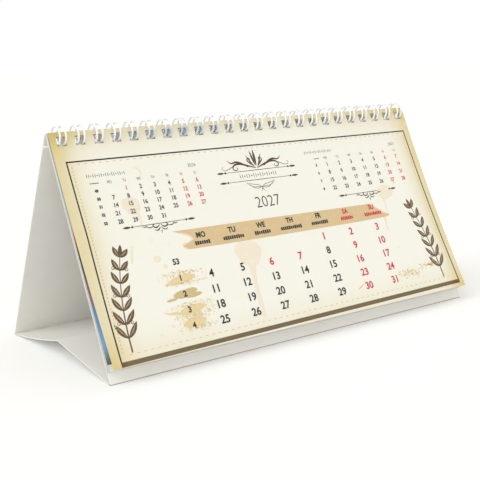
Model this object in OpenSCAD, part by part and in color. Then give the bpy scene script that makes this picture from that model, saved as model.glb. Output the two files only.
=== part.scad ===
// Tent-shaped desk calendar: a folded easel card, a pad of sheets and a twin-loop wire.
// Origin: middle of the front fold, on the surface that the calendar stands on.
// X runs along the wire, Y from the printed front to the back, Z up.

/* [Easel card] */
// Width of the card and the sheets, along the wire
card_w = 205; // [160:1:300]
// Length of the front and back panels, from fold to punched edge
panel_len = 105; // [80:1:150]
// Distance between the front fold and the back fold
foot_depth = 90; // [60:1:120]
// Height of the raised crease along the middle of the base
crease_rise = 8; // [5:0.5:14]
// How far the rear half of the base sags below a straight line
base_sag = 0.8; // [0.4:0.1:1.6]
// Thickness of the card
card_t = 0.5; // [0.3:0.05:0.8]
// Depth of the flat that standing presses into each fold
foot_press = 0.05; // [0.03:0.01:0.1]
// Free space between the two punched edges at the ridge
ridge_clear = 0.3; // [0.2:0.05:0.6]

/* [Sheets] */
// Height of the sheets
sheet_h = 100; // [85:1:145]
// Thickness of the stack of sheets behind the front one
pad_t = 1.2; // [0.6:0.1:2]
// Thickness of the front sheet
page_t = 0.2; // [0.15:0.05:0.4]
// Space between the front sheet and the stack at the punched edge
page_gap = 0.35; // [0.3:0.05:0.5]
// How far the sheets' punched edge lies below the card's
edge_drop = 0.3; // [0.2:0.05:0.6]
// Straight stretch of the front sheet below its punched edge
curl_from = 8; // [7:0.5:20]
// How far the front sheet's lower edge stands off the stack
curl_lift = 4.5; // [2:0.25:8]

/* [Punching and wire] */
// Distance between the middles of neighbouring holes, a third of an inch
pitch = 8.467; // [7.5:0.001:12]
// Least distance from the side of a sheet to the middle of its last hole
side_margin = 4.5; // [4:0.25:8]
// Side of the square holes
hole = 4.2; // [4:0.1:4.8]
// Distance from a punched edge to its holes
hole_drop = 2; // [1.8:0.1:2.2]
// Diameter of the coated wire
wire_d = 0.9; // [0.7:0.05:1]
// Radius of the wire loops, to the middle of the wire
ring_r = 4.1; // [4:0.05:4.2]
// Free space between a loop and either side of its hole
loop_play = 0.3; // [0.2:0.05:0.4]
// Radius of the bends between the loops
bend_r = 0.9; // [0.7:0.1:1.4]
// Length of the cut wire end past the first and the last loop
wire_end = 4.5; // [1:0.25:5]

/* [Print] */
// Thickness of the ink
ink_t = 0.03; // [0.02:0.01:0.05]
// Margin beside the border line
border_side = 4.3; // [3:0.1:8]
// Distance from the punched edge to the border line
border_drop = 12.8; // [10:0.2:16]
// Margin below the bar along the lower edge
border_foot = 1; // [0.8:0.1:4]
// Width of the border line
border_line = 0.45; // [0.3:0.05:1]
// Height of the bar along the lower edge
bar_h = 1.9; // [1:0.1:4]
// Distance from the side of a sheet to the ribbon that carries the weekday names
ribbon_side = 41.5; // [36:0.5:55]
// Height of the ribbon
ribbon_h = 8.8; // [6:0.2:12]
// Distance from the punched edge to the ribbon
ribbon_drop = 48.6; // [44:0.2:54]
// Length of the brushed blots behind the week numbers
blot_w = 16; // [10:0.5:22]
// Height of the sprigs at either side
sprig_h = 44; // [30:1:50]
// Margin around the print of the second sheet
under_margin = 0.3; // [0.2:0.1:4]
// Unprinted strip along the second sheet's lower edge
under_foot = 3; // [1:0.5:8]

/* [Hidden] */
fine = 48;
// Enough segments for the wide, shallow curves
wide = 1440;
over = 1;

// Half the distance between the middles of the two punched edges
ridge_half = (ridge_clear + card_t) / 2;
ridge_y = foot_depth / 2;
fold_z = card_t / 2 - foot_press;
// A creased fold bulges a little past the card's faces
fold_d = 1.1 * card_t;
lean = acos((ridge_y - ridge_half) / panel_len);
ridge_z = fold_z + panel_len * sin(lean);

// Rear half of the base, a shallow arc between the crease and the back fold
base_rise = crease_rise - card_t / 2 - fold_z;
base_len = norm([ridge_y, base_rise]);
base_dip = atan(base_rise / ridge_y);
base_r = (pow(base_len / 2, 2) + pow(base_sag, 2)) / (2 * base_sag);

// Heights over the front panel's printed side, from the card outwards
page_back = pad_t + page_gap;
page_front = page_back + page_t;
curl_len = sheet_h - curl_from;
curl_r = (pow(curl_len, 2) + pow(curl_lift, 2)) / (2 * curl_lift);
curl_angle = curl_len / curl_r * 180 / PI;
curl_steps = 16;

// The loops hold everything between the back panel and the front sheet
held_back = 2 * card_t + ridge_clear;
ring_q = (page_front - held_back) / 2 + 0.33;
ring_s = edge_drop + 1.1;
loop_w = hole - wire_d - 2 * loop_play;
loop_count = floor((card_w - 2 * side_margin) / pitch) + 1;
loop_x = [for (i = [0 : loop_count - 1]) (i - (loop_count - 1) / 2) * pitch];

// Each loop's legs run over the ridge, from the straight stretches behind its foot to its closed tip
leg_from = -71;
leg_to = 245;
tie_len = pitch - loop_w - 2 * bend_r;

// Print layout, from the middle and the punched edge of the front sheet
bar_top = sheet_h - border_foot - bar_h;
grid_top = ribbon_drop + ribbon_h;
row_gap = (bar_top - grid_top) / 5.6;
ribbon_w = card_w - 2 * ribbon_side;
week_x = -ribbon_w / 2 + 3;
sprig_x = card_w / 2 - border_side - 7;
sprig_foot = bar_top - 3;

// Places its children on the front panel: Y runs up the panel, Z out of it, from its punched edge
module on_front_panel() {
    translate([0, ridge_y - ridge_half, ridge_z])
        rotate([lean, 0, 0])
            translate([0, 0, card_t / 2])
                children();
}

// Cross-sections drawn in Y and Z, drawn out along X
module along_x(length) {
    rotate([90, 0, 90])
        linear_extrude(length, center = true)
            children();
}

// Cross-sections drawn down the panel and out of it, drawn out along X
module along_x_on_panel(length) {
    rotate([90, 0, -90])
        linear_extrude(length, center = true)
            children();
}

// A row of square holes below a punched edge at the local origin
module hole_row(low, high) {
    for (x = loop_x)
        translate([x - hole / 2, -hole_drop - hole, low])
            cube([hole, hole, high - low]);
}

// Mirrors its children from the front to the back
module at_back() {
    translate([0, foot_depth, 0])
        mirror([0, 1, 0])
            children();
}

// A straight stretch of card that leaves a fold at an angle
module flat_section(y, angle, length) {
    translate([y, fold_z])
        rotate(angle)
            translate([0, -card_t / 2])
                square([length, card_t]);
}

module rear_base_section() {
    translate([ridge_y, crease_rise - card_t / 2])
        rotate(-base_dip)
            intersection() {
                translate([base_len / 2, base_r - base_sag])
                    difference() {
                        circle(r = base_r + card_t / 2, $fn = wide);
                        circle(r = base_r - card_t / 2, $fn = wide);
                    }
                translate([0, -base_sag - card_t])
                    square([base_len, base_sag + 2 * card_t]);
            }
}

module fold_section(y, z) {
    translate([y, z])
        circle(d = fold_d, $fn = fine);
}

module card_section() {
    intersection() {
        union() {
            flat_section(0, lean, panel_len);
            flat_section(foot_depth, 180 - lean, panel_len);
            flat_section(0, base_dip, base_len);
            rear_base_section();
            fold_section(0, fold_z);
            fold_section(ridge_y, crease_rise - card_t / 2);
            fold_section(foot_depth, fold_z);
        }
        translate([-card_t, 0])
            square([foot_depth + 2 * card_t, panel_len]);
    }
}

module easel_card() {
    color("white")
        difference() {
            along_x(card_w)
                card_section();
            on_front_panel()
                hole_row(-card_t - 0.1, 0.1);
            at_back()
                on_front_panel()
                    hole_row(-card_t - 0.1, 0.1);
        }
}

// A stretch of wire bent from one angle to another about the Z axis
module wire_bend(radius, from, to) {
    rotate([0, 0, from])
        rotate_extrude(angle = to - from, $fn = fine)
            translate([radius, 0])
                circle(d = wire_d, $fn = 24);
}

// Places its children where a loop stands at an angle: X out, Y along the wire, Z along the binding
module at_loop_angle(angle) {
    rotate([0, 0, angle])
        translate([ring_r, 0, 0])
            children();
}

// A bend in the plane that touches the loop, from its side towards its end
module side_bend(radius, from, to) {
    rotate([0, 90, 0])
        wire_bend(radius, from, to);
}

module wire_loop() {
    for (side = [-1, 1])
        translate([0, 0, side * loop_w / 2])
            wire_bend(ring_r, leg_from, leg_to);
    at_loop_angle(leg_to)
        side_bend(loop_w / 2, 0, 180);
    at_loop_angle(leg_from) {
        translate([0, 0, loop_w / 2 + bend_r])
            side_bend(bend_r, -90, 0);
        translate([0, 0, -loop_w / 2 - bend_r])
            side_bend(bend_r, 180, 270);
    }
}

// A straight stretch that leaves a loop on the right and runs along the binding
module wire_tie(length) {
    at_loop_angle(leg_from)
        translate([0, -bend_r, loop_w / 2 + bend_r])
            cylinder(h = length, d = wire_d, $fn = 24);
}

module wire_binding() {
    color("white")
        on_front_panel()
            translate([0, -ring_s, ring_q])
                rotate([-lean, 0, 0])
                    rotate([90, 0, 90]) {
                        for (x = loop_x)
                            translate([0, 0, x])
                                wire_loop();
                        for (i = [0 : loop_count - 2])
                            translate([0, 0, loop_x[i]])
                                wire_tie(tie_len);
                        translate([0, 0, loop_x[loop_count - 1]])
                            wire_tie(wire_end);
                        mirror([0, 0, 1])
                            translate([0, 0, loop_x[loop_count - 1]])
                                wire_tie(wire_end);
                    }
}

module page_block() {
    color("ivory")
        on_front_panel()
            translate([0, -edge_drop, 0])
                difference() {
                    translate([-card_w / 2, -sheet_h, 0])
                        cube([card_w, sheet_h, pad_t]);
                    hole_row(-0.1, pad_t + 0.1);
                }
}

// Points along the curl, at a height over the sheet's back
function curl_line(height) = [
    for (i = [0 : curl_steps])
        let (angle = curl_angle * i / curl_steps)
        [
            curl_from + (curl_r - height) * sin(angle),
            page_back + curl_r - (curl_r - height) * cos(angle)
        ]
];

// Section of a layer of the curled front sheet, between two heights over the sheet's back
module curled_section(low, high) {
    inner = curl_line(high);
    polygon(concat(
        [[0, page_back + low]],
        curl_line(low),
        [for (i = [curl_steps : -1 : 0]) inner[i]],
        [[0, page_back + high]]
    ));
}

module curled_layer(low, high) {
    on_front_panel()
        translate([0, -edge_drop, 0])
            along_x_on_panel(card_w)
                curled_section(low, high);
}

module month_sheet() {
    color("beige")
        difference() {
            curled_layer(0, page_t);
            on_front_panel()
                translate([0, -edge_drop, 0])
                    hole_row(pad_t, page_front + 0.1);
        }
}

// Prints a flat design on the front sheet: X from its middle, Y up from its punched edge
module printed() {
    intersection() {
        curled_layer(page_t, page_t + ink_t);
        on_front_panel()
            translate([0, -edge_drop, 0])
                linear_extrude(page_front + curl_lift + over)
                    children();
    }
}

module print_border() {
    border_w = card_w - 2 * border_side;
    color("saddlebrown")
        printed()
            difference() {
                translate([-border_w / 2, -sheet_h + border_foot])
                    square([border_w, sheet_h - border_foot - border_drop]);
                translate([-border_w / 2 + border_line, -bar_top])
                    square([border_w - 2 * border_line, bar_top - border_drop - border_line]);
            }
}

// A ribbon with a swallowtail at either end, its upper edge shorter than its lower edge on the right
module print_ribbon() {
    tail = ribbon_h * 0.55;
    color("burlywood")
        printed()
            translate([0, -ribbon_drop])
                polygon([
                    [-ribbon_w / 2 + 3, 0],
                    [-ribbon_w / 2 + 3 + 2 * tail, -ribbon_h * 0.5],
                    [-ribbon_w / 2 + 3 + tail, -ribbon_h],
                    [ribbon_w / 2 + 4, -ribbon_h * 0.95],
                    [ribbon_w / 2 + 9, -ribbon_h * 0.88],
                    [ribbon_w / 2 + 4, -ribbon_h * 0.5],
                    [ribbon_w / 2 - 3, 0]
                ]);
}

// A stroke with round ends, drawn from its middle
module stroke(length, thickness) {
    square([length - thickness, thickness], center = true);
    for (side = [-1, 1])
        translate([side * (length - thickness) / 2, 0])
            circle(d = thickness, $fn = fine);
}

module brushed_blot(length, height) {
    stroke(length * 0.86, height * 0.62);
    translate([length * 0.06, height * 0.22])
        stroke(length * 0.62, height * 0.5);
    translate([-length * 0.1, -height * 0.2])
        stroke(length * 0.66, height * 0.5);
}

module print_blots() {
    color("tan")
        printed()
            for (row = [1 : 4])
                translate([week_x + row % 2 * 2 + blot_w * 0.1, -grid_top - row_gap * (row + 0.6)])
                    brushed_blot(blot_w, row_gap * 0.62);
}

// A pointed leaf between two arcs, growing along X from the origin
module leaf(length, width) {
    arc_r = (pow(length, 2) + pow(width, 2)) / (4 * width);
    translate([length / 2, 0])
        intersection() {
            translate([0, arc_r - width / 2])
                circle(r = arc_r, $fn = 2 * fine);
            translate([0, width / 2 - arc_r])
                circle(r = arc_r, $fn = 2 * fine);
        }
}

// A laurel sprig that grows up from the origin along an arc and leans towards +X
module sprig(height) {
    stem_r = height * 3;
    stem_angle = asin(height / stem_r);
    pairs = 7;
    translate([stem_r, 0]) {
        intersection() {
            difference() {
                circle(r = stem_r + 0.25, $fn = 4 * fine);
                circle(r = stem_r - 0.25, $fn = 4 * fine);
            }
            polygon([
                [0, 0],
                [-stem_r * 1.2, 0],
                [-stem_r * 1.2 * cos(stem_angle * 0.9), stem_r * 1.2 * sin(stem_angle * 0.9)]
            ]);
        }
        for (i = [1 : pairs])
            rotate(-stem_angle * i / (pairs + 1))
                translate([-stem_r, 0])
                    for (side = [-1, 1])
                        rotate(90 + side * 38)
                            leaf(height * (0.2 - 0.011 * i), height * 0.055);
        rotate(-stem_angle * 0.88)
            translate([-stem_r, 0])
                rotate(90)
                    leaf(height * 0.12, height * 0.045);
    }
}

module print_sprigs() {
    color("sienna")
        printed()
            for (side = [0, 1])
                mirror([side, 0])
                    translate([-sprig_x, -sprig_foot])
                        sprig(sprig_h);
}

module second_sheet_print() {
    color("cadetblue")
        on_front_panel()
            translate([0, -edge_drop, 0])
                difference() {
                    translate([-card_w / 2 + under_margin, -sheet_h + under_foot, pad_t])
                        cube([
                            card_w - 2 * under_margin,
                            sheet_h - under_foot - hole_drop * 0.8,
                            ink_t
                        ]);
                    hole_row(pad_t - 0.1, pad_t + ink_t + 0.1);
                }
}

easel_card();
wire_binding();
page_block();
month_sheet();
print_border();
print_ribbon();
print_blots();
print_sprigs();
second_sheet_print();
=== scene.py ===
"""Dresses the desk calendar: paper, print, wire and the studio around it."""

import math
import random

import bmesh
import bpy
from mathutils import Matrix, Vector


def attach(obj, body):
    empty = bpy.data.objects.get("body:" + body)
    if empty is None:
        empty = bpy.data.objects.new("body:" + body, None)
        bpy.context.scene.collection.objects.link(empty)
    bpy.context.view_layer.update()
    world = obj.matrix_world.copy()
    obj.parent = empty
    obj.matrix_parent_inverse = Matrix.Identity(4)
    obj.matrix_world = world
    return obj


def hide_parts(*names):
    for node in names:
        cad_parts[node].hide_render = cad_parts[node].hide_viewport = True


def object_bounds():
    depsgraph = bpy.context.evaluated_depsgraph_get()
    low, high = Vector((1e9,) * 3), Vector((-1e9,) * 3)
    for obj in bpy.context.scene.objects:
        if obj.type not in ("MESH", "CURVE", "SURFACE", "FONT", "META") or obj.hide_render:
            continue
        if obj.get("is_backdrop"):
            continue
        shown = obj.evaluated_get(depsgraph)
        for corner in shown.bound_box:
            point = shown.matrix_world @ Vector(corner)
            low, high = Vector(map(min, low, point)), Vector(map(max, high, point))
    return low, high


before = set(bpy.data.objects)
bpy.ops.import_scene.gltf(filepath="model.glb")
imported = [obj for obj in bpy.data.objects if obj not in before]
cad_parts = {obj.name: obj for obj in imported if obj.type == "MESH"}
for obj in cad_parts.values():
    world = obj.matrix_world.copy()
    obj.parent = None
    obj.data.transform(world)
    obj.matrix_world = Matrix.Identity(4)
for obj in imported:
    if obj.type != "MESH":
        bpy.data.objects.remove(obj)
CAD_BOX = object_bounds()

bl_info = {
    "name": "Desk Calendar",
    "version": (1, 0, 0),
    "blender": (4, 5, 0),
    "location": "3D View > Sidebar > Calendar",
    "description": "Paper, print, wire and studio for a tent-shaped desk calendar",
    "category": "Object",
}

MM = 0.001
# Thickness of a layer of ink
LAYER = 0.015 * MM
# Height of a pen stroke against its width
FLATNESS = 0.02


def length(name, millimetres, description):
    """A size that the sidebar shows."""
    return bpy.props.FloatProperty(
        name=name,
        description=description,
        default=millimetres * MM,
        min=0.0,
        precision=5,
        unit="LENGTH",
        subtype="DISTANCE",
    )


def tint(name, red, green, painted_sheen_mask, description):
    """A colour that the sidebar shows, in linear light."""
    return bpy.props.FloatVectorProperty(
        name=name,
        description=description,
        default=(red, green, painted_sheen_mask),
        min=0.0,
        max=1.0,
        size=3,
        subtype="COLOR",
    )


def amount(name, default, description):
    """A plain number that the sidebar shows."""
    return bpy.props.FloatProperty(name=name, description=description, default=default, min=0.0)


def angle(name, radians, description):
    """An angle that the sidebar shows."""
    return bpy.props.FloatProperty(name=name, description=description, default=radians, subtype="ANGLE")


class CalendarEasel(bpy.types.PropertyGroup):
    """The folded card that carries the sheets."""

    foot_depth: length("Foot depth", 90, "Distance between the front fold and the back fold")
    panel: length("Panel length", 105, "Length of the front and back panels")
    card: length("Card thickness", 0.5, "Thickness of the card")
    press: length("Foot press", 0.05, "Depth of the flat pressed into each fold")
    ridge: length("Ridge gap", 0.3, "Free space between the punched edges at the ridge")
    colour: tint("Card", 0.905, 0.89, 0.85, "Colour of the white card")
    # Painted shadow: the brown put into the card's colour along the folds it stands on.
    worn: tint("Fold wear and painted shadow", 0.40, 0.28, 0.16, "Colour of the folds where the card stands on them")


class CalendarSheets(bpy.types.PropertyGroup):
    """The month sheet and the sheets behind it."""

    width: length("Width", 205, "Width of the sheets")
    height: length("Height", 100, "Height of the sheets")
    drop: length("Edge drop", 0.3, "How far the sheets' punched edge lies below the card's")
    pad: length("Pad thickness", 1.2, "Thickness of the sheets behind the front one")
    gap: length("Gap", 0.35, "Space between the front sheet and the pad at the punched edge")
    paper: length("Sheet thickness", 0.2, "Thickness of the front sheet")
    curl_from: length("Curl from", 8, "Straight stretch below the punched edge")
    curl_lift: length("Curl lift", 4.5, "How far the lower edge stands off the pad")
    hole: length("Hole", 4.2, "Side of the square holes")
    hole_drop: length("Hole drop", 2, "Distance from a punched edge to its holes")
    pitch: length("Hole pitch", 8.467, "Distance between the middles of neighbouring holes")
    holes: bpy.props.IntProperty(name="Holes", description="Number of holes", default=24, min=1)
    leaves: bpy.props.IntProperty(name="Leaves", description="Sheets behind the first", default=7, min=1)
    jog: length("Jog", 0.25, "How far a sheet strays sideways in the play of its holes")
    fan: length("Fan", 0.8, "How far the second sheet's lower edge lifts off the pad")
    cream: tint("Cream", 0.906, 0.893, 0.815, "Colour of the front sheet in the middle")
    tan: tint("Tan", 0.71, 0.575, 0.24, "Colour towards the front sheet's edges")
    back: tint("Plain paper", 0.85, 0.83, 0.79, "Colour of unprinted paper")
    cut: tint("Cut edges", 0.10, 0.065, 0.035, "Colour of the printed sheets' cut edges")


class CalendarWire(bpy.types.PropertyGroup):
    """The twin-loop wire that binds card and sheets."""

    thickness: length("Wire", 0.9, "Diameter of the coated wire")
    radius: length("Loop radius", 4.0, "Radius of the loops, to the middle of the wire")
    play: length("Loop play", 0.3, "Free space between a loop and either side of its hole")
    bend: length("Bend radius", 0.9, "Radius of the bends between the loops")
    end: length("Cut end", 4.5, "Length of the cut wire end past the first and last loop")
    drop: length("Ring drop", 1.3, "Ring centre below the sheets' punched edge")
    out: length("Ring offset", 0.6, "Ring centre in front of the card")
    colour: tint("Coating", 0.93, 0.935, 0.94, "Colour of the coating")
    # Painted sheen: blue put into the coating's colour on the front of some loops.
    cool: tint("Painted cool sheen", 0.30, 0.55, 0.88, "Blue sheen on some of the loops")


class CalendarPrint(bpy.types.PropertyGroup):
    """Inks on the month sheet, and how the print lies on it."""

    tilt: amount("Tilt", 0.0092, "Rise of the print's lower edge from left to right")
    drift: amount("Drift", 0.011, "Sideways drift of the print from top to bottom")
    lean: amount("Lean", 0.036, "Drift to the left of the print's lower part")
    lean_from: length("Lean from", 45, "Distance below the punched edge at which the lean starts")
    black: tint("Black ink", 0.016, 0.015, 0.014, "Numerals")
    red: tint("Red ink", 0.62, 0.03, 0.055, "Numerals of days off")
    grey: tint("Grey ink", 0.09, 0.08, 0.065, "Small headings")
    line: tint("Line ink", 0.01, 0.008, 0.006, "Border line")
    bar: tint("Bar ink", 0.155, 0.11, 0.055, "Bar along the lower edge")
    bar_end: tint("Bar ends", 0.147, 0.058, 0.006, "Ends of the bar")
    ribbon: tint("Ribbon ink", 0.69, 0.515, 0.28, "Ribbon behind the weekdays")
    torn: tint("Torn ink", 0.87, 0.66, 0.52, "Torn ends of the ribbon")
    blot: tint("Blot ink", 0.80, 0.635, 0.35, "Brushed blots")
    olive: tint("Olive ink", 0.613, 0.486, 0.236, "Solid blot")
    stain: tint("Stain", 0.87, 0.785, 0.64, "Pale stains")
    sepia: tint("Sepia ink", 0.075, 0.036, 0.014, "Ornaments")
    umber: tint("Umber ink", 0.114, 0.065, 0.026, "Sprigs")
    stitch: tint("Stitch ink", 0.70, 0.50, 0.17, "Dashed line inside the border")


class CalendarStudio(bpy.types.PropertyGroup):
    """Floor, light and camera."""

    azimuth: angle("Azimuth", 0.6409, "Direction of view")
    elevation: angle("Elevation", 0.1967, "Downward tilt of view")
    roll: angle("Roll", -0.0197, "Turn about the line of sight")
    focal: amount("Focal length", 70.71, "In millimetres on a 36 mm sensor")
    position: bpy.props.FloatVectorProperty(
        name="Camera",
        description="Camera position",
        default=(-0.26977, -0.31057, 0.12644),
        size=3,
        unit="LENGTH",
        subtype="TRANSLATION",
    )
    reach: length("Floor reach", 6000, "Half the side of the square floor")
    floor: tint("Floor", 0.93, 0.93, 0.93, "Colour of the floor")
    glow: amount("Floor glow", 0.165, "Light added to the floor as the camera sees it")
    ambient: amount("Ambient", 0.70, "Strength of the light from all round")
    warmth: tint("Ambient colour", 1.0, 0.96, 0.90, "Colour of the light from all round")
    lamps: tint("Lamp colour", 0.94, 1.0, 1.0, "Colour of both lamps")
    key: amount("Key", 0.80, "Strength of the light from the front")
    side: amount("Side", 0.94, "Strength of the light from the left")


class FrontPanel:
    """Places points on the front panel: across, down from a punched edge, and out of the card."""

    def __init__(self):
        scene = bpy.context.scene
        easel, self.sheets = scene.calendar_easel, scene.calendar_sheets
        half_ridge = (easel.ridge + easel.card) / 2
        lean = math.acos((easel.foot_depth / 2 - half_ridge) / easel.panel)
        self.up = Vector((0, math.cos(lean), math.sin(lean)))
        self.out = Vector((0, -math.sin(lean), math.cos(lean)))
        fold = Vector((0, 0, easel.card / 2 - easel.press))
        self.edge = fold + self.up * easel.panel + self.out * easel.card / 2
        self.page_back = self.sheets.pad + self.sheets.gap
        curl = self.sheets.height - self.sheets.curl_from
        self.curl_radius = (curl**2 + self.sheets.curl_lift**2) / (2 * self.sheets.curl_lift)

    def pad(self, across, down, out):
        """A point measured from the sheets' punched edge, straight down the pad."""
        down += self.sheets.drop
        return self.edge + Vector((across, 0, 0)) - self.up * down + self.out * out

    def page(self, across, down, out):
        """A point on the curled front sheet, out of the sheet's back."""
        curl = down - self.sheets.curl_from
        if curl <= 0:
            return self.pad(across, down, self.page_back + out)
        turn = curl / self.curl_radius
        reach = self.curl_radius - out
        down = self.sheets.curl_from + reach * math.sin(turn)
        return self.pad(across, down, self.page_back + self.curl_radius - reach * math.cos(turn))


def curl_rows():
    """Distances below the punched edge at which the front sheet bends."""
    sheets = bpy.context.scene.calendar_sheets
    count = 46
    step = (sheets.height - sheets.curl_from) / count
    return [sheets.curl_from + step * i for i in range(count)]


def cut_lines(bm, axis, places):
    """Cuts a mesh along lines across one axis."""
    normal = Vector((0, 0, 0))
    normal[axis] = 1
    for place in places:
        geom = bm.verts[:] + bm.edges[:] + bm.faces[:]
        bmesh.ops.bisect_plane(bm, geom=geom, dist=1e-7, plane_co=normal * place, plane_no=normal)


def drop_faces(bm, unwanted):
    """Deletes the faces whose middle is unwanted."""
    faces = [face for face in bm.faces if unwanted(face.calc_center_median())]
    bmesh.ops.delete(bm, geom=faces, context="FACES")


def map_sheet(bm):
    """Stores where each corner lies on the flat sheet, in metres across and down."""
    layer = bm.loops.layers.uv.new("Sheet")
    for face in bm.faces:
        for loop in face.loops:
            loop[layer].uv = (loop.vert.co.x, -loop.vert.co.y)


def thicken(bm, thickness):
    """Gives flat shapes their thickness, upwards in Z."""
    made = bmesh.ops.extrude_face_region(bm, geom=bm.faces[:])
    verts = [item for item in made["geom"] if isinstance(item, bmesh.types.BMVert)]
    bmesh.ops.translate(bm, vec=(0, 0, thickness), verts=verts)


def lay(bm, place):
    """Moves flat points onto a panel."""
    for vert in bm.verts:
        vert.co = place(vert.co.x, -vert.co.y, vert.co.z)


def to_mesh(bm, name):
    """Turns a bmesh into a mesh, and uses it up."""
    mesh = bpy.data.meshes.new(name)
    bm.to_mesh(mesh)
    bm.free()
    return mesh


def merge(bm, mesh):
    """Adds a mesh to a bmesh, and uses it up."""
    bm.from_mesh(mesh)
    bpy.data.meshes.remove(mesh)


def in_scene(name, data):
    """A new object in the scene."""
    made = bpy.data.objects.new(name, data)
    bpy.context.scene.collection.objects.link(made)
    return made


def tube_curve(name, radius, resolution):
    """An empty curve whose lines become round tubes with closed ends."""
    curve = bpy.data.curves.new(name, "CURVE")
    curve.dimensions = "3D"
    curve.bevel_depth = radius
    curve.bevel_resolution = resolution
    curve.use_fill_caps = True
    return curve


def baked(shapes):
    """Turns curves and texts into meshes, and uses them up."""
    graph = bpy.context.evaluated_depsgraph_get()
    meshes = []
    for shape in shapes:
        mesh = bpy.data.meshes.new_from_object(shape.evaluated_get(graph))
        mesh.transform(shape.matrix_world)
        meshes.append(mesh)
        bpy.data.objects.remove(shape)
    return meshes


def add_piece(bm, name, body, *materials, replaces=(), slot=None, sharp=30):
    """Turns a bmesh into a piece that rides on a body."""
    bmesh.ops.recalc_face_normals(bm, faces=bm.faces)
    mesh = to_mesh(bm, name)
    mesh.shade_smooth()
    mesh.set_sharp_from_angle(angle=math.radians(sharp))
    for material in materials:
        mesh.materials.append(material)
    piece = in_scene(name, mesh)
    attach(piece, body)
    if replaces:
        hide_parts(*replaces)


# Materials


class Nodes:
    """A node tree, and short calls for its nodes."""

    def __init__(self, tree):
        self.tree = tree

    def feed(self, socket, value):
        """Links an input to an output, or gives it a value."""
        if isinstance(value, bpy.types.NodeSocket):
            self.tree.links.new(value, socket)
        else:
            socket.default_value = (*value, 1) if socket.type == "RGBA" else value

    def node(self, kind, inputs=None, **values):
        """Adds a node with its settings and inputs."""
        made = self.tree.nodes.new("ShaderNode" + kind)
        for key, value in values.items():
            setattr(made, key, value)
        for key, value in (inputs or {}).items():
            self.feed(made.inputs[key], value)
        return made

    def math(self, operation, a, b=0.0, clamp=False):
        return self.node("Math", {0: a, 1: b}, operation=operation, use_clamp=clamp).outputs[0]

    def total(self, first, *others):
        for other in others:
            first = self.math("ADD", first, other)
        return first

    def mix(self, factor, a, b):
        """Blends two colours."""
        # The node's colour sockets come after those for numbers and vectors
        return self.node("Mix", {0: factor, 6: a, 7: b}, data_type="RGBA").outputs[2]


class Shader(Nodes):
    """A material with a principled surface."""

    def __init__(self, name, colour, roughness=0.6):
        self.material = bpy.data.materials.new(name)
        self.material.use_nodes = True
        super().__init__(self.material.node_tree)
        self.surface = self.tree.nodes["Principled BSDF"]
        self.set("Base Color", colour)
        self.set("Roughness", roughness)

    def set(self, name, value):
        """Links or sets an input of the surface."""
        self.feed(self.surface.inputs[name], value)

    def noise(self, place, scale, detail=3.0, roughness=0.6, seed=0.0):
        inputs = {"Vector": place, "Scale": scale, "Detail": detail, "Roughness": roughness, "W": seed}
        return self.node("TexNoise", inputs, noise_dimensions="4D").outputs["Fac"]

    def ramp(self, value, low, high):
        """0 below low and 1 above high."""
        inputs = {"Value": value, "From Min": low, "From Max": high}
        return self.node("MapRange", inputs, interpolation_type="SMOOTHSTEP").outputs["Result"]

    def fade(self, distance, reach, weight):
        """The weight at an edge, falling off like a bell with the distance from it."""
        share = self.math("DIVIDE", distance, reach)
        fall = self.math("MULTIPLY", self.math("MULTIPLY", share, share), -1.0)
        return self.math("MULTIPLY", self.math("EXPONENT", fall), weight)

    def clouded(self, place, scale, colour, factor):
        """A colour with faint clouds that are darker or lighter by a factor."""
        thin, dense = 0.35, 0.7
        cloud = self.ramp(self.noise(place, scale, seed=1.0), thin, dense)
        return self.mix(cloud, colour, shade(colour, factor))

    def tooth(self, place, seed, strength=0.08, depth=0.05, scale=2600.0, detail=3.0, roughness=0.6):
        """A fine grain in the surface, its depth in millimetres."""
        height = self.noise(place, scale, detail, roughness, seed)
        inputs = {"Height": height, "Strength": strength, "Distance": depth * MM}
        self.set("Normal", self.node("Bump", inputs).outputs["Normal"])

    def paper_tooth(self, place):
        self.tooth(place, 2.0, 0.12, 0.06, detail=4.0, roughness=0.65)

    def object_place(self):
        return self.node("TexCoord").outputs["Object"]

    def sheet_place(self):
        """Across and down the sheet in metres, from its own map."""
        return self.node("UVMap", uv_map="Sheet").outputs["UV"]

    def split(self, place):
        return self.node("SeparateXYZ", {0: place}).outputs


def shade(colour, factor):
    """A colour made darker or lighter."""
    return tuple(min(1.0, channel * factor) for channel in colour)


def paper_material(name, colour, scale, factor):
    """Paper: faint clouds in its colour and a fine tooth."""
    shader = Shader(name, colour)
    place = shader.object_place()
    shader.set("Base Color", shader.clouded(place, scale, colour, factor))
    shader.paper_tooth(place)
    return shader.material


def card_material(easel):
    """White card, with a painted shadow: a brown line along the folds that it stands on."""
    shader = Shader("White card", easel.colour)
    place = shader.object_place()
    painted_shadow_below, unshaded_above = 0.1 * MM, 0.6 * MM
    card = shader.clouded(place, 38.0, easel.colour, 0.97)
    # Painted shadow: brown in the lowest 0.6 mm of the card along the folds it stands on, full below 0.1 mm.
    unshaded = shader.ramp(shader.split(place)[2], painted_shadow_below, unshaded_above)
    shader.set("Base Color", shader.mix(unshaded, easel.worn, card))
    shader.paper_tooth(place)
    return shader.material


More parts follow.
